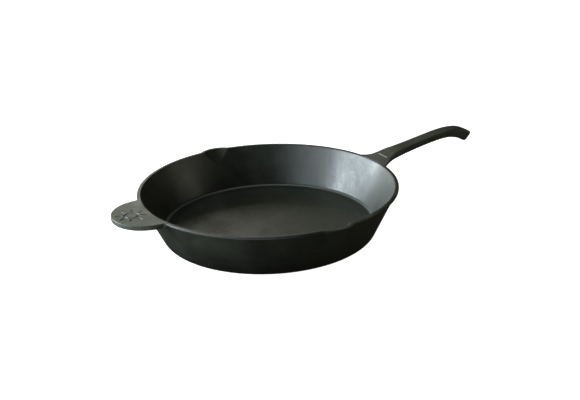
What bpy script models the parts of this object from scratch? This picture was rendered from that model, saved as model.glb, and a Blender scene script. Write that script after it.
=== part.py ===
"""A cast iron skillet: sloping wall with a rim band, two pour spouts, a rounded
helper handle and a long rising handle with a hooked end.

Metres, +Z up. The origin is the centre of the foot ring that the pan stands on,
and the long handle points along +X. The casting is divided along its own features into
separate solids, with GAP between neighbours.
"""

import math

import bmesh
import bpy
from mathutils import Matrix, Vector
from mathutils.geometry import interpolate_bezier

# Pan, measured at the rim and the base
RIM_RADIUS = 0.150
PAN_HEIGHT = 0.057
BASE_CORNER_RADIUS = 0.1217
RIM_THICKNESS = 0.0044
FLOOR_TOP = 0.0108
FLOOR_DISC_RADIUS = 0.106
BASE_RECESS = 0.0048
RECESS_RADIUS = 0.1085
BASE_FILLET = 0.0105
FLOOR_FILLET = 0.0028
CORNER_TOP = 0.016
RIM_BAND_HEIGHT = 0.0026
RIM_BAND_STEP = 0.0010
RIM_EDGE_ROUND = 0.0010

# Pour spouts: an upright cone through the wall on each side of the pan
SPOUT_REACH = 0.1568
SPOUT_TOP_RADIUS = 0.0275
SPOUT_DEPTH = 0.025
SPOUT_WALL = 0.0042
CHANNEL_TOP_RADIUS = 0.021
SPOUT_OFFSET_X = 0.0035
SPOUT_PANEL_HALF_WIDTH = 0.024
SPOUT_PANEL_DEPTH = 0.028

# Helper handle: a tab flush with the rim
TAB_CENTRE_X = -0.1480
TAB_RADIUS = 0.0401
TAB_THICKNESS = 0.0060
TAB_EDGE_ROUND = 0.0010
TAB_STEPS = 28

# Long handle from the side, in (x, z): each stretch is a start, two leans and an end
WEB_TOP = ((0.144, 0.0570), (0.158, 0.0595), (0.163, 0.0648), (0.172, 0.0668))
HANDLE_TOP = ((0.172, 0.0668), (0.217, 0.0746), (0.240, 0.0791), (0.256, 0.0791))
HOOK_TOP = ((0.256, 0.0791), (0.267, 0.0791), (0.2785, 0.0776), (0.2855, 0.0705))
HOOK_UNDERSIDE = ((0.2765, 0.0605), (0.268, 0.0666), (0.257, 0.0701), (0.246, 0.0701))
HANDLE_UNDERSIDE = ((0.246, 0.0701), (0.232, 0.0701), (0.212, 0.0664), (0.172, 0.0593))
WEB_UNDERSIDE = ((0.172, 0.0593), (0.163, 0.0581), (0.152, 0.0540), (0.140, 0.0450))
STRETCH_STEPS = 8

# Long handle, seen from above: straight sides that flare into the wall
HANDLE_WIDTH = 0.0185
ROOT_INNER_X = 0.140
ROOT_END_X = 0.175
ROOT_TAPER_END_X = 0.196
ROOT_TAPER_WIDTH = 0.0290
ROOT_FILLET_START_X = 0.158
ROOT_FILLET_RADIUS = 0.008
FILLET_STEPS = 8

GAP = 0.0003
OVERSHOOT = 0.010
TURN_STEPS = 96
CONE_STEPS = 64
ARC_STEPS = 5

WALL_SLOPE = (RIM_RADIUS - RIM_BAND_STEP - BASE_CORNER_RADIUS) / PAN_HEIGHT
IRON_COLOUR = (0.030, 0.031, 0.027, 1.0)

for stale in list(bpy.data.objects):
    bpy.data.objects.remove(stale, do_unlink=True)

parts = bpy.data.collections.new("cast_iron_skillet")
cutters = bpy.data.collections.new("cutters")
bpy.context.scene.collection.children.link(parts)
bpy.context.scene.collection.children.link(cutters)


def iron(name, roughness):
    """A seasoned cast iron material of its own for one sub-part."""
    material = bpy.data.materials.new(name)
    material.use_nodes = True
    shader = material.node_tree.nodes["Principled BSDF"]
    shader.inputs["Base Color"].default_value = IRON_COLOUR
    shader.inputs["Metallic"].default_value = 0.0
    shader.inputs["Roughness"].default_value = roughness
    return material


def wall_outside(z):
    """Radius of the wall's outer face at a height."""
    return RIM_RADIUS - RIM_BAND_STEP - WALL_SLOPE * (PAN_HEIGHT - z)


def wall_inside(z):
    """Radius of the wall's inner face at a height."""
    return RIM_RADIUS - RIM_THICKNESS - WALL_SLOPE * (PAN_HEIGHT - z)


def rounded(corners, steps=ARC_STEPS):
    """Points of a closed outline whose corners (x, z, radius) are rounded by arcs."""
    points = []
    count = len(corners)
    for index, (x, z, radius) in enumerate(corners):
        corner = Vector((x, z))
        if radius == 0:
            points.append(corner)
            continue
        before = (Vector(corners[index - 1][:2]) - corner).normalized()
        after = (Vector(corners[(index + 1) % count][:2]) - corner).normalized()
        half_angle = before.angle(after) / 2
        centre = corner + (before + after).normalized() * radius / math.sin(half_angle)
        start = corner + before * radius / math.tan(half_angle) - centre
        end = corner + after * radius / math.tan(half_angle) - centre
        sweep = start.angle_signed(end)
        for step in range(steps + 1):
            turn = -sweep * step / steps
            spoke = Vector((
                start.x * math.cos(turn) - start.y * math.sin(turn),
                start.x * math.sin(turn) + start.y * math.cos(turn),
            ))
            points.append(centre + spoke)
    return points


def move_to(obj, collection):
    """Puts an object in a collection, marked as a helper if that is the cutters'."""
    for home in list(obj.users_collection):
        home.objects.unlink(obj)
    collection.objects.link(obj)
    if collection is cutters:
        obj.hide_render = True
        obj.display_type = "WIRE"


def link(name, mesh, collection):
    obj = bpy.data.objects.new(name, mesh)
    move_to(obj, collection)
    return obj


def turned(name, profile, collection):
    """A solid of revolution about Z from a closed (radius, z) loop or an axis-to-axis line."""
    on_axis = profile[0][0] == 0
    mesh = bpy.data.meshes.new(name)
    count = len(profile)
    edges = [(i, i + 1) for i in range(count - 1)]
    if not on_axis:
        edges.append((count - 1, 0))
    mesh.from_pydata([(radius, 0, z) for radius, z in profile], edges, [])
    obj = link(name, mesh, collection)
    screw = obj.modifiers.new("turn", "SCREW")
    screw.steps = TURN_STEPS
    screw.render_steps = TURN_STEPS
    screw.use_merge_vertices = True
    screw.merge_threshold = 0.00001
    return obj


def plate(name, outline, half_thickness, collection, upright=False):
    """A flat outline thickened both ways: in plan, or upright in the XZ plane."""
    curve = bpy.data.curves.new(name, "CURVE")
    curve.dimensions = "2D"
    curve.fill_mode = "BOTH"
    curve.extrude = half_thickness
    spline = curve.splines.new("POLY")
    spline.points.add(len(outline) - 1)
    for point, (x, y) in zip(spline.points, outline):
        point.co = (x, y, 0, 1)
    spline.use_cyclic_u = True
    guide = bpy.data.objects.new(name + "_outline", curve)
    cutters.objects.link(guide)
    if upright:
        guide.rotation_euler.x = math.pi / 2
    bpy.context.view_layer.update()
    evaluated = guide.evaluated_get(bpy.context.evaluated_depsgraph_get())
    mesh = bpy.data.meshes.new_from_object(evaluated)
    mesh.transform(guide.matrix_world)
    bpy.data.objects.remove(guide)
    mesh.name = name
    shape = bmesh.new()
    shape.from_mesh(mesh)
    bmesh.ops.remove_doubles(shape, verts=shape.verts, dist=0.00001)
    bmesh.ops.recalc_face_normals(shape, faces=shape.faces)
    shape.to_mesh(mesh)
    shape.free()
    return link(name, mesh, collection)


def block(name, low, high, collection):
    """A box between two corners."""
    bpy.ops.mesh.primitive_cube_add(size=1)
    obj = bpy.context.object
    obj.name = name
    size = [high[axis] - low[axis] for axis in range(3)]
    middle = [(high[axis] + low[axis]) / 2 for axis in range(3)]
    for vertex in obj.data.vertices:
        vertex.co = [vertex.co[axis] * size[axis] + middle[axis] for axis in range(3)]
    move_to(obj, collection)
    return obj


def combine(obj, operation, other):
    boolean = obj.modifiers.new(operation.lower() + "_" + other.name, "BOOLEAN")
    boolean.operation = operation
    boolean.object = other
    boolean.solver = "EXACT"


def soften(obj, radius):
    """Rounds the edges between faces that meet at a clear angle."""
    bevel = obj.modifiers.new("soften", "BEVEL")
    bevel.width = radius
    bevel.segments = 2
    bevel.limit_method = "ANGLE"
    bevel.angle_limit = math.radians(50)


def finish(obj, roughness):
    """Gives a sub-part its material and smooth shading with crisp corners."""
    obj.data.materials.clear()
    obj.data.materials.append(iron(obj.name, roughness))
    obj.data.shade_smooth()
    obj.data.set_sharp_from_angle(angle=math.radians(35))


def outer_corners(grow=0.0):
    """The pan's outer corners from the rim down to the base, each (radius, z, rounding)."""
    band_foot = PAN_HEIGHT - RIM_BAND_HEIGHT
    ledge = band_foot - RIM_BAND_STEP
    return [
        (RIM_RADIUS + grow, PAN_HEIGHT, RIM_EDGE_ROUND),
        (RIM_RADIUS + grow, band_foot, 0),
        (wall_outside(ledge) + grow, ledge, 0),
        (wall_outside(0) + grow, 0, BASE_FILLET),
    ]


def filled_pan(name, grow=0.0):
    """The pan's outer form as one solid, optionally grown outwards."""
    corners = [(0, PAN_HEIGHT, 0)] + outer_corners(grow) + [(0, 0, 0)]
    return turned(name, rounded(corners), cutters)


def cone(name, centre, top_radius, steepness, overshoot):
    """An upright cone standing on its tip, wide end at the rim or past it."""
    tip_z = PAN_HEIGHT - top_radius / steepness
    height = PAN_HEIGHT + overshoot - tip_z
    bpy.ops.mesh.primitive_cone_add(
        vertices=CONE_STEPS, radius1=0, radius2=height * steepness, depth=height
    )
    obj = bpy.context.object
    obj.name = name
    obj.data.transform(Matrix.Translation((*centre, tip_z + height / 2)))
    move_to(obj, cutters)
    return obj


def make_floor():
    profile = [
        (0, FLOOR_TOP),
        (FLOOR_DISC_RADIUS, FLOOR_TOP),
        (FLOOR_DISC_RADIUS, BASE_RECESS),
        (0, BASE_RECESS),
    ]
    finish(turned("pan_floor", profile, parts), 0.5)


def make_base_corner():
    """The ring that turns the floor up into the wall, with the foot that the pan stands on."""
    seam = FLOOR_DISC_RADIUS + GAP
    top = CORNER_TOP - GAP
    finish(turned("base_corner", rounded([
        (wall_outside(top), top, 0),
        (wall_outside(0), 0, BASE_FILLET),
        (RECESS_RADIUS, 0, 0),
        (RECESS_RADIUS, BASE_RECESS, 0),
        (seam, BASE_RECESS, 0),
        (seam, FLOOR_TOP, 0),
        (wall_inside(FLOOR_TOP), FLOOR_TOP, FLOOR_FILLET),
        (wall_inside(top), top, 0),
    ]), parts), 0.42)


def make_wall(spout_slots):
    wall = turned("side_wall", rounded(outer_corners()[:3] + [
        (wall_outside(CORNER_TOP), CORNER_TOP, 0),
        (wall_inside(CORNER_TOP), CORNER_TOP, 0),
        (wall_inside(PAN_HEIGHT), PAN_HEIGHT, RIM_EDGE_ROUND),
    ]), parts)
    for slot in spout_slots:
        combine(wall, "DIFFERENCE", slot)
    finish(wall, 0.42)


def make_spout(label, side):
    """A wall panel with an outward V-shaped lip. Returns the slot that it leaves in the wall."""
    foot_z = PAN_HEIGHT - SPOUT_DEPTH
    steepness = (SPOUT_REACH - wall_outside(foot_z)) / SPOUT_DEPTH
    lip_centre = (SPOUT_OFFSET_X, side * (SPOUT_REACH - SPOUT_TOP_RADIUS))
    channel_centre = (SPOUT_OFFSET_X, side * (SPOUT_REACH - SPOUT_WALL - CHANNEL_TOP_RADIUS))
    lip = cone(f"{label}_lip", lip_centre, SPOUT_TOP_RADIUS, steepness, 0)
    channel = cone(f"{label}_channel", channel_centre, CHANNEL_TOP_RADIUS, steepness, OVERSHOOT)
    cavity = turned(f"{label}_cavity", [
        (0, PAN_HEIGHT + OVERSHOOT),
        (wall_inside(PAN_HEIGHT + OVERSHOOT), PAN_HEIGHT + OVERSHOOT),
        (wall_inside(FLOOR_TOP), FLOOR_TOP),
        (0, FLOOR_TOP),
    ], cutters)
    mass = filled_pan(f"{label}_mass")
    combine(mass, "UNION", lip)

    panel_foot = PAN_HEIGHT - SPOUT_PANEL_DEPTH
    near, far = sorted((side * 0.8 * RIM_RADIUS, side * 1.2 * RIM_RADIUS))
    spout = block(
        f"pour_spout_{label}",
        (SPOUT_OFFSET_X - SPOUT_PANEL_HALF_WIDTH, near, panel_foot),
        (SPOUT_OFFSET_X + SPOUT_PANEL_HALF_WIDTH, far, PAN_HEIGHT + OVERSHOOT),
        parts,
    )
    combine(spout, "INTERSECT", mass)
    combine(spout, "DIFFERENCE", cavity)
    combine(spout, "DIFFERENCE", channel)
    finish(spout, 0.42)
    return block(
        f"{label}_slot",
        (SPOUT_OFFSET_X - SPOUT_PANEL_HALF_WIDTH - GAP, near, panel_foot - GAP),
        (SPOUT_OFFSET_X + SPOUT_PANEL_HALF_WIDTH + GAP, far, PAN_HEIGHT + OVERSHOOT),
        cutters,
    )


def make_helper_handle():
    """A flat tab with a round end, flush with the rim."""
    inner_x = -0.9 * RIM_RADIUS
    round_end = [
        (TAB_CENTRE_X - TAB_RADIUS * math.sin(angle), TAB_RADIUS * math.cos(angle))
        for angle in (math.pi * step / TAB_STEPS for step in range(TAB_STEPS + 1))
    ]
    outline = [(inner_x, TAB_RADIUS)] + round_end + [(inner_x, -TAB_RADIUS)]
    tab = plate("helper_handle", outline, TAB_THICKNESS / 2, parts)
    tab.data.transform(Matrix.Translation((0, 0, PAN_HEIGHT - TAB_THICKNESS / 2)))
    soften(tab, TAB_EDGE_ROUND)
    combine(tab, "DIFFERENCE", filled_pan("helper_clearance", GAP))
    finish(tab, 0.45)


def handle_side():
    """The handle's side outline: along its top to the hook's end, and back along its underside."""
    outline = []
    for stretch in (WEB_TOP, HANDLE_TOP, HOOK_TOP, HOOK_UNDERSIDE, HANDLE_UNDERSIDE, WEB_UNDERSIDE):
        knots = [Vector((x, z, 0)) for x, z in stretch]
        points = [point.to_2d() for point in interpolate_bezier(*knots, STRETCH_STEPS)]
        if outline and (outline[-1] - points[0]).length < GAP:
            points.pop(0)
        outline += points
    return outline


def make_long_handle():
    """The handle's side outline crossed with its plan outline, cut in two where the web ends."""
    side = handle_side()
    half = HANDLE_WIDTH / 2
    fillet = []
    for step in range(FILLET_STEPS + 1):
        angle = math.pi / 2 * step / FILLET_STEPS
        x = ROOT_FILLET_START_X - ROOT_FILLET_RADIUS * math.cos(angle)
        fillet.append((x, ROOT_TAPER_WIDTH / 2 + ROOT_FILLET_RADIUS * (1 - math.sin(angle))))
    end_x = HOOK_TOP[-1][0] + OVERSHOOT
    upper_edge = [(ROOT_INNER_X, fillet[0][1])] + fillet + [(ROOT_TAPER_END_X, half), (end_x, half)]
    plan = upper_edge + [(x, -y) for x, y in reversed(upper_edge)]
    clearance = filled_pan("handle_clearance", GAP)
    stretches = (
        ("handle_root", ROOT_INNER_X, ROOT_END_X),
        ("long_handle", ROOT_END_X + GAP, end_x),
    )
    for name, start_x, stop_x in stretches:
        piece = plate(name, side, 0.2 * RIM_RADIUS, parts, upright=True)
        seen_from_above = plate(name + "_plan", plan, RIM_RADIUS, cutters)
        low = (start_x, -RIM_RADIUS, 0)
        high = (stop_x, RIM_RADIUS, RIM_RADIUS)
        combine(piece, "INTERSECT", seen_from_above)
        combine(piece, "INTERSECT", block(name + "_stretch", low, high, cutters))
        if name == "handle_root":
            combine(piece, "DIFFERENCE", clearance)
        finish(piece, 0.45)


make_floor()
make_base_corner()
make_wall([make_spout("rear", 1), make_spout("front", -1)])
make_helper_handle()
make_long_handle()
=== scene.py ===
import math

import bmesh
import bpy
import numpy as np
from mathutils import Matrix, Vector


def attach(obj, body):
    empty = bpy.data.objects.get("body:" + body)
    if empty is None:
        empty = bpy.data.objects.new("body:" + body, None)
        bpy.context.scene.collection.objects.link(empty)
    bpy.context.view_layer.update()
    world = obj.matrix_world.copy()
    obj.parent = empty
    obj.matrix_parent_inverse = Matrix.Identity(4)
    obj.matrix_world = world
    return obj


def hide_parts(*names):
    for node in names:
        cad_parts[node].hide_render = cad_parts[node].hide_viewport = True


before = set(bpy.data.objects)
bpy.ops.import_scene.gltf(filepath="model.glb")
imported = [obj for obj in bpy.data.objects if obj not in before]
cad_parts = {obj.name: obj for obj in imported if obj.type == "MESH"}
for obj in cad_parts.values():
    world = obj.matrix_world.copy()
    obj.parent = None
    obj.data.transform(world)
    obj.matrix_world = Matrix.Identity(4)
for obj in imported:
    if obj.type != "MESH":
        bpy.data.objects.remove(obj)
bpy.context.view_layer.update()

# ---------------------------------------------------------------- dimensions, metres
# The pan
RIM_RADIUS = 0.150
PAN_HEIGHT = 0.057
BASE_CORNER_RADIUS = 0.1217
RIM_THICKNESS = 0.0044
FLOOR_TOP = 0.0108
FLOOR_SEAM = 0.106
CORNER_SEAM = 0.016
BASE_RECESS = 0.0048
RECESS_RADIUS = 0.1085
BASE_FILLET = 0.0105
FLOOR_FILLET = 0.0028
RIM_BAND_HEIGHT = 0.0026
RIM_BAND_STEP = 0.0010
RIM_INNER_ROUND = 0.0013
RIM_OUTER_ROUND = 0.0010
WALL_SLOPE = (RIM_RADIUS - RIM_BAND_STEP - BASE_CORNER_RADIUS) / PAN_HEIGHT

# The pour spouts: (centre angle in degrees) and the round lip and channel of each
REAR_SPOUT_ANGLE = 89.3
FRONT_SPOUT_ANGLE = 272.2
SPOUT_PANEL_HALF_ANGLE = 9.4
SPOUT_PANEL_FOOT = 0.029
SPOUT_DEPTH = 0.025
LIP_REACH = 0.1566
LIP_RADIUS = 0.0275
CHANNEL_REACH = 0.1524
CHANNEL_RADIUS = 0.0215
CHANNEL_DEPTH = 0.0165
LIP_BLEND = 0.0012
CHANNEL_BLEND = 0.0006

# The helper handle
TAB_CENTRE_X = -0.1480
TAB_RADIUS = 0.0401
TAB_THICKNESS = 0.0060
TAB_TOP_ROUND = 0.0007
TAB_UNDER_ROUND = 0.0019
TAB_FILLET = 0.0030
TAB_MARK_X = -0.1670
MARK_RING_RADIUS = 0.0075
MARK_SPOKES = (0.0100, 0.0175)
MARK_GROOVE = 0.0019

# The long handle, in (x, z): each stretch is a start, two leans and an end
WEB_TOP = ((0.1480, 0.0571), (0.158, 0.0606), (0.163, 0.0648), (0.172, 0.0668))
HANDLE_TOP = ((0.172, 0.0668), (0.217, 0.0746), (0.240, 0.0791), (0.256, 0.0791))
HOOK_TOP = ((0.256, 0.0791), (0.267, 0.0791), (0.2785, 0.0776), (0.2862, 0.0700))
WEB_UNDER = ((0.140, 0.0450), (0.152, 0.0540), (0.163, 0.0581), (0.172, 0.0593))
HANDLE_UNDER = ((0.172, 0.0593), (0.212, 0.0664), (0.232, 0.0701), (0.246, 0.0701))
HOOK_UNDER = ((0.246, 0.0701), (0.257, 0.0701), (0.268, 0.0664), (0.2765, 0.0599))
HANDLE_WIDTH = 0.0185
HANDLE_ROUND = 0.0026
ROOT_SEAM_X = 0.175
ROOT_START_X = 0.144
ROOT_SPREAD_FAR = 0.0152
ROOT_SPREAD_NEAR = 0.0130
ROOT_FADE = 0.0183
ROOT_FLARE = 0.0060
ROOT_FLARE_FADE = 0.0040
HANDLE_TIP_ROUND = 0.0032
HANDLE_IN_WALL = 0.0085
WEB_IN_WALL = 0.0005
ROOT_ROUND_END_X = 0.172
ROOT_ROUND_SPAN = 0.02
ROOT_ROUND_DROP = 0.001
RIB_X = 0.1590
RIB_LENGTH = 0.0195
RIB_HALF_WIDTH = 0.0010
RIB_HEIGHT = 0.00045

# The finishes: sizes of their noises in features per metre, and where the stain, the ring of painted
# highlight and the painted shade lie
PATCH_SCALE = 34.0
CLOUD_SCALE = 15.0
MOTTLE_SCALE = 210.0
GRAIN_SCALE = 1150.0
PIT_SCALE = 620.0
MIDDLE_STAIN = (0.055, 0.104)
FLOOR_RING_IN = (0.1190, 0.1202)
FLOOR_RING_OUT = (0.1222, 0.1236)
FLOOR_RING_LOW = (0.0100, 0.0106)
FLOOR_RING_HIGH = (0.0128, 0.0145)
WALL_SIDES = (0.1192, 0.1208)
# Where the painted shade at the wall's foot lies, and how dark it gets
PAINTED_SHADE_HEIGHT = (0.002, 0.046)
PAINTED_SHADE_SHARE = 0.85
IRON_IOR = 1.62
BUMP_STRENGTH = 0.28
BUMP_DEPTH = 0.00025

# The stage
STAGE_RADIUS = 6.0
BACKDROP_HEIGHT = 6.0
STAGE_SIDES = 64
FLOOR_DROP = 0.0002
STAGE_GREY = (0.6, 0.6, 0.6, 1)
STAGE_GLOW = 1.1
WORLD_GLOW = 0.025
LIGHT_DISTANCE = 3.0

# The camera: where it looks, how far off, and its angles
CAMERA_TARGET = Vector((0, 0, 0.05702))
CAMERA_DISTANCE = 1.2
CAMERA_AZIMUTH = math.radians(-27)
CAMERA_ELEVATION = math.radians(20.82)
CAMERA_ROLL = math.radians(-2.33)
CAMERA_LENS = 64.76
CAMERA_SHIFT = (0.0387, -0.0258)


def wall_outside(z):
    return RIM_RADIUS - RIM_BAND_STEP - WALL_SLOPE * (PAN_HEIGHT - z)


def wall_inside(z):
    return RIM_RADIUS - RIM_THICKNESS - WALL_SLOPE * (PAN_HEIGHT - z)


def wall_middle(z):
    return (wall_outside(z) + wall_inside(z)) / 2


# ---------------------------------------------------------------- materials
class Nodes:
    """A short way to write a node tree."""

    def __init__(self, tree):
        self.tree = tree

    def add(self, kind, settings=None, **sockets):
        node = self.tree.nodes.new(kind)
        for key, value in (settings or {}).items():
            setattr(node, key, value)
        for key, value in sockets.items():
            self.plug(node.inputs[key.replace("_", " ")], value)
        return node

    def plug(self, socket, value):
        if isinstance(value, bpy.types.NodeSocket):
            self.tree.links.new(value, socket)
        else:
            socket.default_value = value

    def noise(self, where, scale, detail=3.0, roughness=0.5, distortion=0.0):
        node = self.add("ShaderNodeTexNoise", None, Vector=where, Scale=scale, Detail=detail)
        node.inputs["Roughness"].default_value = roughness
        node.inputs["Distortion"].default_value = distortion
        return node.outputs["Fac"]

    def ramp(self, value, low, high, to_low=0.0, to_high=1.0):
        """Maps low..high smoothly to to_low..to_high."""
        node = self.add("ShaderNodeMapRange", {"interpolation_type": "SMOOTHSTEP"}, Value=value)
        for key, number in zip(("From Min", "From Max", "To Min", "To Max"), (low, high, to_low, to_high)):
            node.inputs[key].default_value = number
        return node.outputs["Result"]

    def maths(self, operation, first, second=None):
        node = self.add("ShaderNodeMath", {"operation": operation})
        self.plug(node.inputs[0], first)
        if second is not None:
            self.plug(node.inputs[1], second)
        return node.outputs[0]

    def blend(self, factor, first, second):
        node = self.add("ShaderNodeMix", {"data_type": "RGBA"})
        self.plug(node.inputs[0], factor)
        self.plug(node.inputs[6], first)
        self.plug(node.inputs[7], second)
        return node.outputs[2]


def iron(name, dark, light, cooking=False, shine=0.0):
    """Oil-seasoned cast iron: a fine cast grain under a satin, patchy coat, worn at its edges.
    The cooking face is stained in its middle. The others have a paler ring where the
    wall meets the floor, a painted highlight on the inner fillet, and painted shade darkening
    the outside of the wall towards its foot. Shine lowers the roughness."""
    material = bpy.data.materials.new(name)
    material.use_nodes = True
    n = Nodes(material.node_tree)
    shader = material.node_tree.nodes["Principled BSDF"]
    where = n.add("ShaderNodeTexCoord").outputs["Object"]
    across = n.add("ShaderNodeSeparateXYZ", None, Vector=where)
    radius = n.maths("MULTIPLY", across.outputs["X"], across.outputs["X"])
    radius = n.maths("ADD", radius, n.maths("MULTIPLY", across.outputs["Y"], across.outputs["Y"]))
    radius = n.maths("SQRT", radius)
    pointiness = n.add("ShaderNodeNewGeometry").outputs["Pointiness"]

    patches = n.ramp(n.noise(where, PATCH_SCALE, 4.0, 0.55), 0.36, 0.66)
    clouds = n.ramp(n.noise(where, CLOUD_SCALE, 3.0, 0.5, 0.6), 0.38, 0.62)
    mottling = n.ramp(n.noise(where, MOTTLE_SCALE, 3.0, 0.6), 0.35, 0.7)
    grain = n.noise(where, GRAIN_SCALE, 2.0, 0.6)
    pits = n.ramp(n.noise(where, PIT_SCALE, 1.0, 0.4), 0.30, 0.44)
    worn = n.ramp(pointiness, 0.53, 0.62)

    coat = n.blend(patches, dark, light)
    coat = n.blend(n.maths("MULTIPLY", clouds, 0.5), coat, (0.027, 0.031, 0.017, 1))
    coat = n.blend(n.maths("MULTIPLY", mottling, 0.4), coat, (0.030, 0.026, 0.020, 1))
    coat = n.blend(n.maths("MULTIPLY", worn, 0.5), coat, (0.062, 0.066, 0.060, 1))
    if cooking:
        middle = n.ramp(radius, *MIDDLE_STAIN, 1.0, 0.0)
        coat = n.blend(n.maths("MULTIPLY", middle, 0.6), coat, (0.022, 0.024, 0.008, 1))
    else:
        height = across.outputs["Z"]
        # Painted highlight: a paler ring where the wall meets the floor stands in for the light line on the
        # inner fillet.
        ring = n.maths("MULTIPLY", n.ramp(radius, *FLOOR_RING_IN), n.ramp(radius, *FLOOR_RING_OUT, 1.0, 0.0))
        above = n.ramp(height, *FLOOR_RING_LOW)
        below = n.ramp(height, *FLOOR_RING_HIGH, 1.0, 0.0)
        level = n.maths("MULTIPLY", above, below)
        painted_highlight_ring = n.maths("MULTIPLY", ring, level)
        coat = n.blend(n.maths("MULTIPLY", painted_highlight_ring, 0.85), coat, (0.24, 0.25, 0.24, 1))
        # Painted shade: the outside of the wall is darkened towards its foot.
        leaning = n.maths("SUBTRACT", radius, n.maths("MULTIPLY", height, WALL_SLOPE))
        outside = n.ramp(leaning, *WALL_SIDES)
        painted_foot_shade = n.maths("MULTIPLY", outside, n.ramp(height, *PAINTED_SHADE_HEIGHT, PAINTED_SHADE_SHARE, 0.0))
        coat = n.blend(painted_foot_shade, coat, (0.004, 0.004, 0.003, 1))
    n.plug(shader.inputs["Base Color"], coat)

    gloss = n.ramp(patches, 0.0, 1.0, 0.36 - shine, 0.43 - shine)
    cloudiness = 0.01 if cooking else 0.04
    gloss = n.maths("ADD", gloss, n.ramp(clouds, 0.0, 1.0, -cloudiness, cloudiness))
    gloss = n.maths("ADD", gloss, n.ramp(mottling, 0.0, 1.0, -0.02, 0.03))
    n.plug(shader.inputs["Roughness"], gloss)
    shader.inputs["Metallic"].default_value = 0.0
    shader.inputs["IOR"].default_value = IRON_IOR

    relief = n.maths("ADD", n.maths("MULTIPLY", grain, 0.6), n.maths("MULTIPLY", pits, 0.4))
    relief = n.maths("ADD", relief, n.maths("MULTIPLY", mottling, 0.5))
    bump = n.add("ShaderNodeBump", None, Height=relief)
    bump.inputs["Strength"].default_value = BUMP_STRENGTH
    bump.inputs["Distance"].default_value = BUMP_DEPTH
    n.plug(shader.inputs["Normal"], bump.outputs["Normal"])
    return material


COAT_DARK = (0.018, 0.0195, 0.0175, 1)
COAT_LIGHT = (0.031, 0.033, 0.028, 1)
seasoned = iron("seasoned_iron", COAT_DARK, COAT_LIGHT)
cooking = iron("cooking_face", COAT_DARK, COAT_LIGHT, cooking=True, shine=-0.04)
gripped = iron("gripped_iron", (0.011, 0.0115, 0.005, 1), (0.023, 0.0235, 0.012, 1), shine=-0.08)
# The helper handle's iron is made much paler: painted light standing in for the light its top catches.
painted_light_tab_iron = iron("tab_iron_painted_light", (0.080, 0.083, 0.067, 1), (0.112, 0.115, 0.096, 1))
# The rib's iron is made pale: a painted highlight where its raised edge catches the light.
painted_highlight_iron = iron("rib_iron_painted_highlight", (0.24, 0.24, 0.22, 1), (0.34, 0.34, 0.31, 1), shine=0.04)


# ---------------------------------------------------------------- mesh helpers
def piece_from(name, vertices, faces, material, normals=None, smooth_faces=None):
    """A closed mesh object. Normals, given for vertices, hold on the first smooth_faces faces;
    the hidden ends after them stay flat."""
    mesh = bpy.data.meshes.new(name)
    mesh.from_pydata([tuple(v) for v in vertices], [], faces)
    shape = bmesh.new()
    shape.from_mesh(mesh)
    bmesh.ops.recalc_face_normals(shape, faces=shape.faces)
    shape.to_mesh(mesh)
    shape.free()
    mesh.shade_smooth()
    if normals is not None:
        corner_normals = []
        for polygon in mesh.polygons:
            for vertex in polygon.vertices:
                if polygon.index < smooth_faces:
                    corner_normals.append(tuple(normals[vertex]))
                else:
                    corner_normals.append(tuple(polygon.normal))
        mesh.normals_split_custom_set(corner_normals)
    mesh.materials.append(material)
    obj = bpy.data.objects.new(name, mesh)
    bpy.context.scene.collection.objects.link(obj)
    return obj


def settle(obj, slot, *nodes):
    """Fixes a finished piece to the pan's one body, in place of its CAD nodes."""
    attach(obj, "root")
    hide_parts(*nodes)


def bezier(stretch, t):
    a, b, c, d = (np.array(p) for p in stretch)
    t = np.asarray(t)[:, None]
    return a * (1 - t) ** 3 + 3 * b * t * (1 - t) ** 2 + 3 * c * t**2 * (1 - t) + d * t**3


def rounded_path(corners, steps):
    """An open path through (r, z, radius) corners, each rounded by an arc."""
    path = [np.array(corners[0][:2])]
    for k in range(1, len(corners) - 1):
        corner = np.array(corners[k][:2])
        radius = corners[k][2]
        before = np.array(corners[k - 1][:2]) - corner
        after = np.array(corners[k + 1][:2]) - corner
        before = before / np.linalg.norm(before)
        after = after / np.linalg.norm(after)
        half = math.acos(np.clip(before @ after, -1, 1)) / 2
        middle = before + after
        centre = corner + middle / np.linalg.norm(middle) * radius / math.sin(half)
        start = corner + before * radius / math.tan(half)
        end = corner + after * radius / math.tan(half)
        first = math.atan2(*(start - centre)[::-1])
        sweep = math.atan2(*(end - centre)[::-1]) - first
        sweep = (sweep + math.pi) % (2 * math.pi) - math.pi
        for s in range(steps + 1):
            angle = first + sweep * s / steps
            path.append(centre + radius * np.array((math.cos(angle), math.sin(angle))))
    path.append(np.array(corners[-1][:2]))
    return path


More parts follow.
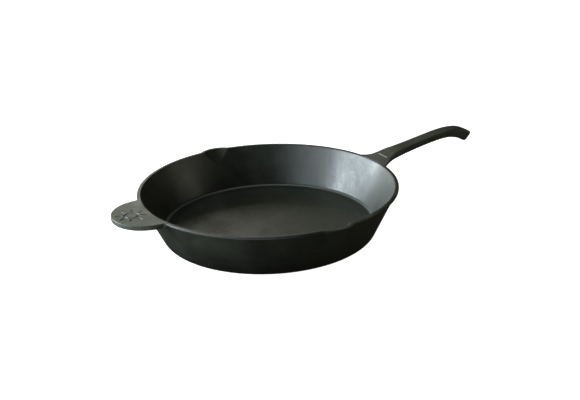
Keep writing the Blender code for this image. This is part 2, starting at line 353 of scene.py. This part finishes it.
# ---------------------------------------------------------------- the pan as one grid
def pan_profile():
    """Half section from the floor's centre over the rim to the base's centre, and its seams."""
    ledge = PAN_HEIGHT - RIM_BAND_HEIGHT - RIM_BAND_STEP
    corners = [
        (0.003, FLOOR_TOP, 0),
        (wall_inside(FLOOR_TOP), FLOOR_TOP, FLOOR_FILLET),
        (wall_inside(PAN_HEIGHT), PAN_HEIGHT, RIM_INNER_ROUND),
        (RIM_RADIUS, PAN_HEIGHT, RIM_OUTER_ROUND),
        (RIM_RADIUS, PAN_HEIGHT - RIM_BAND_HEIGHT, 0.0003),
        (wall_outside(ledge), ledge, 0.0004),
        (wall_outside(0), 0, BASE_FILLET),
        (RECESS_RADIUS, 0, 0.0008),
        (RECESS_RADIUS, BASE_RECESS, 0.0012),
        (0.003, BASE_RECESS, 0),
    ]
    path = rounded_path(corners, 8)
    knots = {
        "floor_in": lambda r, z: r - FLOOR_SEAM,
        "corner_in": lambda r, z: z - CORNER_SEAM,
        "foot_in": lambda r, z: z - SPOUT_PANEL_FOOT,
        "foot_out": lambda r, z: z - SPOUT_PANEL_FOOT,
        "corner_out": lambda r, z: z - CORNER_SEAM,
        "floor_out": lambda r, z: r - FLOOR_SEAM,
    }
    points, seams = [path[0]], {}
    waiting = list(knots)
    for a, b in zip(path, path[1:]):
        length = np.linalg.norm(b - a)
        spacing = 0.0016 if (a[1] + b[1]) / 2 > 0.02 else 0.004
        cuts = set(np.linspace(0, 1, max(1, math.ceil(length / spacing)) + 1)[1:])
        names = {}
        while waiting:
            gap_a, gap_b = knots[waiting[0]](*a), knots[waiting[0]](*b)
            if gap_a * gap_b > 0 or gap_a == gap_b:
                break
            t = float(gap_a / (gap_a - gap_b))
            if names and t <= max(names):
                break
            cuts = {c for c in cuts if abs(c - t) * length > 0.0004 or c == 1.0}
            cuts.add(t)
            names[t] = waiting.pop(0)
        for t in sorted(cuts):
            if t in names:
                seams[names[t]] = len(points)
            points.append(a + (b - a) * t)
    return np.array(points), seams


def pan_angles():
    """Angles round the pan, close together at the spouts, with the seams of their panels."""
    marks, seams = set(np.arange(0, 360, 1.0)), {}
    for name, centre in (("rear", REAR_SPOUT_ANGLE), ("front", FRONT_SPOUT_ANGLE)):
        low, high = centre - SPOUT_PANEL_HALF_ANGLE, centre + SPOUT_PANEL_HALF_ANGLE
        marks = {m for m in marks if not low - 0.6 < m < high + 0.6}
        marks |= set(np.linspace(low, high, 111))
        seams[name] = (low, high)
    angles = np.array(sorted(marks))
    for name, (low, high) in seams.items():
        seams[name] = (int(np.argmin(abs(angles - low))), int(np.argmin(abs(angles - high))))
    return np.radians(angles), seams


def bulge(angles, z, reach, radius, foot_reach, depth, wall, blend):
    """How far an upright cone at each spout stands out of the wall, smoothed where they meet.
    The cone runs from its reach at the rim to its foot's reach at a depth below it."""
    steepness = (reach - foot_reach) / depth
    ring = radius - steepness * (PAN_HEIGHT - z)
    total = np.zeros_like(z + angles)
    for centre in (REAR_SPOUT_ANGLE, FRONT_SPOUT_ANGLE):
        turn = (angles - math.radians(centre) + math.pi) % (2 * math.pi) - math.pi
        middle = reach - radius
        inside = ring**2 - (middle * np.sin(turn)) ** 2
        seen = (inside > 0) & (ring > 0) & (np.cos(turn) > 0)
        cone = np.where(seen, middle * np.cos(turn) + np.sqrt(np.maximum(inside, 0)), 0)
        over = np.where(seen, cone - wall, -0.02)
        smooth = (over + np.sqrt(over**2 + blend**2)) / 2 - 0.00003
        total += np.maximum(smooth, 0)
    return total


def pan_grid():
    profile, seams = pan_profile()
    angles, panels = pan_angles()
    r, z = profile[None, :, 0], profile[None, :, 1]
    a = angles[:, None]
    top = np.arange(len(profile))[None, :]
    rim_middle = int(np.argmax(profile[:, 1] * 10 + (profile[:, 0] < RIM_RADIUS - RIM_THICKNESS / 2)))
    across = np.clip((r - RIM_RADIUS + RIM_THICKNESS) / RIM_THICKNESS, 0, 1)
    outer_share = np.where(z > PAN_HEIGHT - 0.0015, across, (top > rim_middle).astype(float))
    ledge = PAN_HEIGHT - RIM_BAND_HEIGHT - RIM_BAND_STEP
    band = np.clip((z - ledge) / RIM_BAND_STEP, 0, 1) * RIM_BAND_STEP
    channel_foot = wall_inside(PAN_HEIGHT - CHANNEL_DEPTH)
    lip_foot = wall_outside(PAN_HEIGHT - SPOUT_DEPTH)
    inner = bulge(
        a, z, CHANNEL_REACH, CHANNEL_RADIUS, channel_foot, CHANNEL_DEPTH, wall_inside(z), CHANNEL_BLEND
    )
    outer = bulge(
        a, z, LIP_REACH, LIP_RADIUS, lip_foot, SPOUT_DEPTH, wall_outside(z) + band, LIP_BLEND
    )
    upper = z > SPOUT_PANEL_FOOT
    radius = r + np.where(upper, inner * (1 - outer_share) + outer * outer_share, 0)
    spots = np.stack([radius * np.cos(a), radius * np.sin(a), z + 0 * a], -1)

    following = np.roll(spots, -1, 0)
    one = following[:, 1:] - spots[:, :-1]
    two = following[:, :-1] - spots[:, 1:]
    facing = np.cross(one, two)
    normals = np.zeros_like(spots)
    for i_step in (0, 1):
        for j_part in (slice(None, -1), slice(1, None)):
            normals[:, j_part] += np.roll(facing, i_step, 0)
    normals /= np.linalg.norm(normals, axis=-1, keepdims=True)
    return spots, normals, seams, panels


def build_pan():
    spots, normals, seams, panels = pan_grid()
    turns, count = spots.shape[:2]
    a, b, c = seams["floor_in"], seams["corner_in"], seams["foot_in"]
    d, e, f = seams["foot_out"], seams["corner_out"], seams["floor_out"]
    everywhere = range(turns)
    in_panel = {i for low, high in panels.values() for i in range(low, high)}

    def patch(columns, low, high):
        return [
            ((i, j), (i, j + 1), ((i + 1) % turns, j + 1), ((i + 1) % turns, j))
            for i in columns
            for j in range(low, high)
        ]

    def strip(columns, one, two):
        return [((i, one), ((i + 1) % turns, one), ((i + 1) % turns, two), (i, two)) for i in columns]

    def section(i):
        return [tuple((i, j) for j in range(c, d + 1))]

    def make(name, slot, material, skin, ends, centres=()):
        index, vertices, directions = {}, [], []

        def number(key):
            if key not in index:
                index[key] = len(vertices)
                vertices.append(spots[key])
                directions.append(normals[key])
            return index[key]

        faces = [[number(key) for key in face] for face in skin]
        for j, height, up in centres:
            middle = len(vertices)
            vertices.append(np.array((0, 0, height)))
            directions.append(np.array((0, 0, up)))
            faces += [[number((i, j)), number(((i + 1) % turns, j)), middle] for i in everywhere]
        smooth = len(faces)
        faces += [[number(key) for key in face] for face in ends]
        obj = piece_from(name, vertices, faces, material, directions, smooth)
        settle(obj, slot, name)

    make(
        "pan_floor", "cooking_face", cooking,
        patch(everywhere, 0, a) + patch(everywhere, f, count - 1),
        strip(everywhere, a, f),
        centres=((0, FLOOR_TOP, 1), (count - 1, BASE_RECESS, -1)),
    )
    make(
        "base_corner", "seasoned_iron", seasoned,
        patch(everywhere, a, b) + patch(everywhere, e, f),
        strip(everywhere, a, f) + strip(everywhere, b, e),
    )
    plain = [i for i in everywhere if i not in in_panel]
    ends = strip(everywhere, b, e) + strip(sorted(in_panel), c, d)
    for low, high in panels.values():
        ends += section(low) + section(high)
    make(
        "side_wall", "seasoned_iron", seasoned,
        patch(plain, b, e) + patch(sorted(in_panel), b, c) + patch(sorted(in_panel), d, e),
        ends,
    )
    for label, (low, high) in panels.items():
        make(
            f"pour_spout_{label}", "seasoned_iron", seasoned,
            patch(range(low, high), c, d),
            strip(range(low, high), c, d) + section(low) + section(high),
        )


# ---------------------------------------------------------------- the helper handle
def tab_outline():
    """Plan of the tab from the rim, round its end and back, with a small fillet at each side."""
    reach_rim, reach_tab = RIM_RADIUS + TAB_FILLET, TAB_RADIUS + TAB_FILLET
    x = (reach_rim**2 - reach_tab**2 + TAB_CENTRE_X**2) / (2 * TAB_CENTRE_X)
    fillet = np.array((x, math.sqrt(reach_rim**2 - x**2)))
    centre = np.array((TAB_CENTRE_X, 0.0))
    on_rim = fillet * RIM_RADIUS / reach_rim
    on_tab = centre + (fillet - centre) * TAB_RADIUS / reach_tab
    start = math.atan2(*(on_rim - fillet)[::-1])
    sweep = math.atan2(*(on_tab - fillet)[::-1]) - start
    sweep = (sweep + math.pi) % (2 * math.pi) - math.pi
    upper = [
        fillet + TAB_FILLET * np.array((math.cos(start + sweep * s / 10), math.sin(start + sweep * s / 10)))
        for s in range(11)
    ]
    first = math.atan2(*(on_tab - centre)[::-1])
    for s in range(1, 61):
        angle = first + (math.pi - first) * s / 60
        upper.append(centre + TAB_RADIUS * np.array((math.cos(angle), math.sin(angle))))
    lower = [point * (1, -1) for point in upper[-2::-1]]
    return np.array(upper + lower)


def build_tab():
    outline = tab_outline()
    along = np.gradient(outline, axis=0)
    inward = np.stack([-along[:, 1], along[:, 0]], -1)
    inward /= np.linalg.norm(inward, axis=1, keepdims=True)
    first_angle = math.atan2(outline[0][1], outline[0][0])
    last_angle = math.atan2(outline[-1][1], outline[-1][0])
    span = (last_angle - first_angle) % (2 * math.pi)
    inside = last_angle - span * np.linspace(0, 1, 41)

    top = PAN_HEIGHT + 0.00002
    levels = []
    for s in range(5):
        angle = math.pi / 2 * s / 4
        inset = TAB_TOP_ROUND * (1 - math.sin(angle))
        levels.append((inset, top - TAB_TOP_ROUND * (1 - math.cos(angle))))
    for s in range(7):
        angle = math.pi / 2 * s / 6
        inset = TAB_UNDER_ROUND * (1 - math.cos(angle))
        levels.append((inset, top - TAB_THICKNESS + TAB_UNDER_ROUND * (1 - math.sin(angle))))
    vertices, faces = [], []
    for inset, z in levels:
        ring = [(*point, z) for point in outline + inward * inset]
        ring += [(wall_middle(z) * math.cos(t), wall_middle(z) * math.sin(t), z) for t in inside]
        vertices += ring
    size = len(outline) + len(inside)
    for level in range(len(levels) - 1):
        for k in range(size):
            following = (k + 1) % size
            low = level * size
            faces.append([low + k, low + following, low + size + following, low + size + k])
    faces.append(list(range(size)))
    faces.append(list(range((len(levels) - 1) * size, len(levels) * size)))
    # The tab uses the paler iron: painted light on its top.
    tab = piece_from("helper_handle", vertices, faces, painted_light_tab_iron)
    engrave(tab, top)
    settle(tab, "seasoned_iron", "helper_handle")


def tube(name, rings, material):
    """A closed tube through rings of points."""
    size = len(rings[0])
    faces = []
    for level in range(len(rings) - 1):
        for k in range(size):
            following = (k + 1) % size
            low = level * size
            faces.append([low + k, low + following, low + size + following, low + size + k])
    faces.append(list(range(size)))
    faces.append(list(range((len(rings) - 1) * size, len(rings) * size)))
    return piece_from(name, [point for ring in rings for point in ring], faces, material)


def carve(target, tools):
    """Cuts the tools out of the target for good and removes them."""
    for tool in tools:
        modifier = target.modifiers.new("cut", "BOOLEAN")
        modifier.operation = "DIFFERENCE"
        modifier.solver = "EXACT"
        modifier.object = tool
    bake(target)
    for tool in tools:
        bpy.data.objects.remove(tool)


def bake(obj):
    bpy.context.view_layer.update()
    evaluated = obj.evaluated_get(bpy.context.evaluated_depsgraph_get())
    mesh = bpy.data.meshes.new_from_object(evaluated)
    obj.modifiers.clear()
    obj.data = mesh


def groove(start, end, width, height, name):
    """A long round-bottomed cutter from one (x, y) to another at a height."""
    start, end = np.array(start), np.array(end)
    along = (end - start) / np.linalg.norm(end - start)
    side = np.array((-along[1], along[0]))
    rings = []
    for share, swell in ((0, 0.35), (0.06, 0.8), (0.14, 1), (0.86, 1), (0.94, 0.8), (1, 0.35)):
        middle = start + (end - start) * share
        ring = []
        for k in range(14):
            angle = 2 * math.pi * k / 14
            across = side * math.cos(angle) * width / 2 * swell
            ring.append((*(middle + across), height + math.sin(angle) * width / 2 * swell))
        rings.append(ring)
    return tube(name, rings, painted_light_tab_iron)


def engrave(tab, top):
    """A plain sunk mark: a ring with spokes round it."""
    tools = []
    centre = np.array((TAB_MARK_X, 0.0))
    loop = []
    for k in range(48):
        angle = 2 * math.pi * k / 48
        out = np.array((math.cos(angle), math.sin(angle)))
        ring = []
        for s in range(10):
            turn = 2 * math.pi * s / 10
            reach = MARK_RING_RADIUS + MARK_GROOVE / 2 * math.cos(turn)
            ring.append((*(centre + out * reach), top + 0.0001 + MARK_GROOVE / 2 * math.sin(turn)))
        loop.append(ring)
    vertices = [point for ring in loop for point in ring]
    faces = [
        [k * 10 + s, k * 10 + (s + 1) % 10, ((k + 1) % 48) * 10 + (s + 1) % 10, ((k + 1) % 48) * 10 + s]
        for k in range(48)
        for s in range(10)
    ]
    tools.append(piece_from("ring_tool", vertices, faces, painted_light_tab_iron))
    for k in range(8):
        angle = math.pi / 4 * k + math.pi / 8
        out = np.array((math.cos(angle), math.sin(angle)))
        start, end = (centre + out * reach for reach in MARK_SPOKES)
        tools.append(groove(start, end, MARK_GROOVE, top + 0.0001, "spoke_tool"))
    carve(tab, tools)
    tab.data.shade_smooth()
    tab.data.set_sharp_from_angle(angle=math.radians(40))
    weighted = tab.modifiers.new("even_shading", "WEIGHTED_NORMAL")
    weighted.keep_sharp = True
    weighted.weight = 90
    bake(tab)


# ---------------------------------------------------------------- the long handle
def half_width(x, most_spread, flare):
    """The handle's half width in plan: it spreads towards the wall, and flares where it meets it."""
    reach = max(x - ROOT_START_X, 0.0)
    spread = most_spread * math.exp(-reach / ROOT_FADE)
    return HANDLE_WIDTH / 2 + spread + flare * math.exp(-reach / ROOT_FLARE_FADE)


def ring_section(far, near, thickness, round_top, round_under, steps=6):
    """A rounded cross section as (sideways, up) from its lower far corner, counter-clockwise."""
    round_top = min(round_top, near * 0.98, thickness * 0.49)
    round_under = min(round_under, near * 0.98, thickness * 0.49)
    points = []
    for centre_x, centre_y, radius, first in (
        (far - round_under, round_under, round_under, -math.pi / 2),
        (far - round_top, thickness - round_top, round_top, 0),
        (-near + round_top, thickness - round_top, round_top, math.pi / 2),
        (-near + round_under, round_under, round_under, math.pi),
    ):
        for s in range(steps + 1):
            angle = first + math.pi / 2 * s / steps
            points.append((centre_x + radius * math.cos(angle), centre_y + radius * math.sin(angle)))
    across = np.linspace(0, 1, 12)[1:-1]
    top_from, top_to = points[2 * steps + 1], points[2 * steps + 2]
    under_from, under_to = points[-1], points[0]
    top = [(top_from[0] + (top_to[0] - top_from[0]) * share, thickness) for share in across]
    under = [(under_from[0] + (under_to[0] - under_from[0]) * share, 0.0) for share in across]
    return points[: 2 * steps + 2] + top + points[2 * steps + 2 :] + under


def handle_lines():
    """Matching points along the top and the underside, from the wall to the hook's end."""
    short = np.linspace(0, 1, 25)
    long = np.linspace(0, 1, 41)
    tops = [bezier(WEB_TOP, short), bezier(HANDLE_TOP, long)[1:], bezier(HOOK_TOP, short)[1:]]
    unders = [bezier(WEB_UNDER, short), bezier(HANDLE_UNDER, long)[1:], bezier(HOOK_UNDER, short)[1:]]
    return np.concatenate(tops), np.concatenate(unders)


def handle_grid():
    top, under = handle_lines()
    first = top[0] - (HANDLE_IN_WALL, 0)
    top = np.concatenate([[first], top])
    under = np.concatenate([[under[0] - (WEB_IN_WALL, WEB_IN_WALL)], under])
    middle = (top + under) / 2
    travel = np.concatenate([[0], np.cumsum(np.linalg.norm(np.diff(middle, axis=0), axis=1))])
    left = travel[-1] - travel
    tip = HANDLE_TIP_ROUND
    keep = left > tip
    stations = [(top[k], under[k], 0.0) for k in range(len(top)) if keep[k]]
    for s in range(8):
        distance = tip * (1 - math.sin(math.pi / 2 * s / 7))
        stations.append((
            np.array([np.interp(travel[-1] - distance, travel, top[:, i]) for i in (0, 1)]),
            np.array([np.interp(travel[-1] - distance, travel, under[:, i]) for i in (0, 1)]),
            tip - math.sqrt(max(0.0, tip**2 - (tip - distance) ** 2)),
        ))
    rings = []
    for upper, lower, inset in stations:
        up = upper - lower
        thickness = np.linalg.norm(up)
        up = up / thickness
        x = (upper[0] + lower[0]) / 2
        far = half_width(x, ROOT_SPREAD_FAR, ROOT_FLARE) - inset
        near = half_width(x, ROOT_SPREAD_NEAR, 0.0) - inset
        lower = lower + up * inset
        thickness -= 2 * inset
        flare = np.clip((ROOT_ROUND_END_X - x) / ROOT_ROUND_SPAN, 0, 1)
        section = ring_section(far, near, thickness, HANDLE_ROUND - ROOT_ROUND_DROP * flare, HANDLE_ROUND)
        ring = []
        for sideways, rise in section:
            spot = lower + up * rise
            least = math.sqrt(max(wall_middle(min(spot[1], PAN_HEIGHT)) ** 2 - sideways**2, 0))
            ring.append((max(spot[0], least), sideways, spot[1]))
        rings.append(ring)
    return np.array(rings)


def build_handle():
    rings = handle_grid()
    count, size = rings.shape[:2]
    around = np.roll(rings, -1, 1) - np.roll(rings, 1, 1)
    along = np.gradient(rings, axis=0)
    normals = np.cross(around, along)
    lengths = np.linalg.norm(normals, axis=-1, keepdims=True)
    normals = normals / np.maximum(lengths, 1e-12)
    middle = rings.mean(1, keepdims=True)
    outward = np.sign(((rings - middle) * normals).sum(-1).sum())
    normals = normals * outward
    split = int(np.argmin(abs(rings.mean(1)[:, 0] - ROOT_SEAM_X)))
    for name, low, high in (("handle_root", 0, split), ("long_handle", split, count - 1)):
        part = rings[low : high + 1]
        vertices = part.reshape(-1, 3)
        directions = normals[low : high + 1].reshape(-1, 3)
        faces = []
        for level in range(len(part) - 1):
            for k in range(size):
                following = (k + 1) % size
                base = level * size
                faces.append([base + k, base + following, base + size + following, base + size + k])
        smooth = len(faces)
        faces.append(list(range(size)))
        faces.append(list(range((len(part) - 1) * size, len(part) * size)))
        obj = piece_from(name, vertices, faces, gripped, directions, smooth)
        settle(obj, "seasoned_iron", name)
    build_rib()


def build_rib():
    """A plain raised rib cast across the top of the root."""
    t = np.linspace(0, 1, 200)
    top = bezier(WEB_TOP, t)
    height = float(np.interp(RIB_X, top[:, 0], top[:, 1]))
    rings = []
    for share in np.linspace(-1, 1, 25):
        size = math.sqrt(max(0.0, 1 - abs(share) ** 10)) * 0.9 + 0.1
        y = share * RIB_LENGTH / 2
        rings.append([
            (
                RIB_X + RIB_HALF_WIDTH * size * math.cos(2 * math.pi * k / 12),
                y,
                height + RIB_HEIGHT * size * math.sin(2 * math.pi * k / 12),
            )
            for k in range(12)
        ])
    # The rib uses the pale iron: a painted highlight.
    rib = tube("root_rib", rings, painted_highlight_iron)
    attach(rib, "root")


# ---------------------------------------------------------------- stage, camera, light
def place_camera():
    data = bpy.data.cameras.new("camera")
    camera = bpy.data.objects.new("camera", data)
    bpy.context.scene.collection.objects.link(camera)
    a, e, roll = CAMERA_AZIMUTH, CAMERA_ELEVATION, CAMERA_ROLL
    back = Vector((math.sin(a) * math.cos(e), -math.cos(a) * math.cos(e), math.sin(e)))
    right = Vector((math.cos(a), math.sin(a), 0))
    up = back.cross(right)
    x_axis = right * math.cos(roll) + up * math.sin(roll)
    y_axis = up * math.cos(roll) - right * math.sin(roll)
    turn = Matrix((x_axis, y_axis, back)).transposed()
    camera.matrix_world = Matrix.Translation(CAMERA_TARGET + back * CAMERA_DISTANCE) @ turn.to_4x4()
    data.lens = CAMERA_LENS
    data.sensor_width = 36
    data.shift_x, data.shift_y = CAMERA_SHIFT
    data.clip_end = 50
    bpy.context.scene.camera = camera


def soft_light(name, azimuth, elevation, width, height, brightness, colour=(1, 1, 1)):
    """A rectangular soft light: the direction in which it lies, and how wide and tall it looks
    from the pan, in degrees."""
    data = bpy.data.lights.new(name, "AREA")
    data.shape = "RECTANGLE"
    data.size = 2 * LIGHT_DISTANCE * math.tan(math.radians(width / 2))
    data.size_y = 2 * LIGHT_DISTANCE * math.tan(math.radians(height / 2))
    data.energy = brightness * math.pi * data.size * data.size_y
    data.color = colour
    light = bpy.data.objects.new(name, data)
    a, e = math.radians(azimuth), math.radians(elevation)
    away = Vector((math.cos(a) * math.cos(e), math.sin(a) * math.cos(e), math.sin(e)))
    light.location = Vector((0, 0, 0.03)) + away * LIGHT_DISTANCE
    side = Vector((-math.sin(a), math.cos(a), 0))
    turn = Matrix((side, away.cross(side), away)).transposed()
    light.matrix_world = Matrix.Translation(light.location) @ turn.to_4x4()
    bpy.context.scene.collection.objects.link(light)


def stage_surface(name, vertices, faces, material):
    """A plain pale surface behind the pan that only the camera sees."""
    mesh = bpy.data.meshes.new(name)
    mesh.from_pydata(vertices, [], faces)
    mesh.materials.append(material)
    obj = bpy.data.objects.new(name, mesh)
    bpy.context.scene.collection.objects.link(obj)
    obj.visible_diffuse = False
    obj.visible_glossy = False
    obj.visible_shadow = False


def stage_scene():
    material = bpy.data.materials.new("pale_floor")
    material.use_nodes = True
    shader = material.node_tree.nodes["Principled BSDF"]
    shader.inputs["Base Color"].default_value = STAGE_GREY
    shader.inputs["Roughness"].default_value = 0.9
    shader.inputs["Emission Color"].default_value = (1, 1, 1, 1)
    shader.inputs["Emission Strength"].default_value = STAGE_GLOW
    turns = [2 * math.pi * k / STAGE_SIDES for k in range(STAGE_SIDES)]
    low = [(STAGE_RADIUS * math.cos(t), STAGE_RADIUS * math.sin(t), -FLOOR_DROP) for t in turns]
    high = [(x, y, BACKDROP_HEIGHT) for x, y, _ in low]
    around = [
        (k, (k + 1) % STAGE_SIDES, (k + 1) % STAGE_SIDES + STAGE_SIDES, k + STAGE_SIDES)
        for k in range(STAGE_SIDES)
    ]
    stage_surface("floor", low, [tuple(range(STAGE_SIDES))], material)
    stage_surface("backdrop", low + high, around, material)

    world = bpy.data.worlds.new("studio")
    bpy.context.scene.world = world
    world.use_nodes = True
    background = world.node_tree.nodes["Background"]
    background.inputs["Color"].default_value = (0.9, 1.0, 0.75, 1)
    background.inputs["Strength"].default_value = WORLD_GLOW

    soft_light("side_light", 145, 12, 50, 26, 18.0, (0.87, 1.0, 1.08))
    soft_light("left_light", 198, 14, 30, 26, 4.5, (0.84, 1.0, 1.04))
    soft_light("back_light", 84, 22, 40, 14, 2.0, (1.0, 1.0, 0.84))
    soft_light("low_back_light", 106, 7, 34, 12, 2.0, (1.0, 1.0, 0.80))
    soft_light("right_light", 328, 8, 26, 14, 3.8, (1.0, 1.0, 0.84))
    soft_light("high_light", 90, 70, 50, 30, 0.5, (0.85, 1.0, 0.95))
    soft_light("flank_light", 156, 46, 26, 12, 4.0, (0.95, 1.0, 0.98))
    soft_light("front_bounce", 225, -24, 60, 30, 0.6, (1.0, 1.0, 0.84))


build_pan()
build_tab()
build_handle()
stage_scene()
place_camera()
bpy.context.scene.view_settings.view_transform = "Standard"
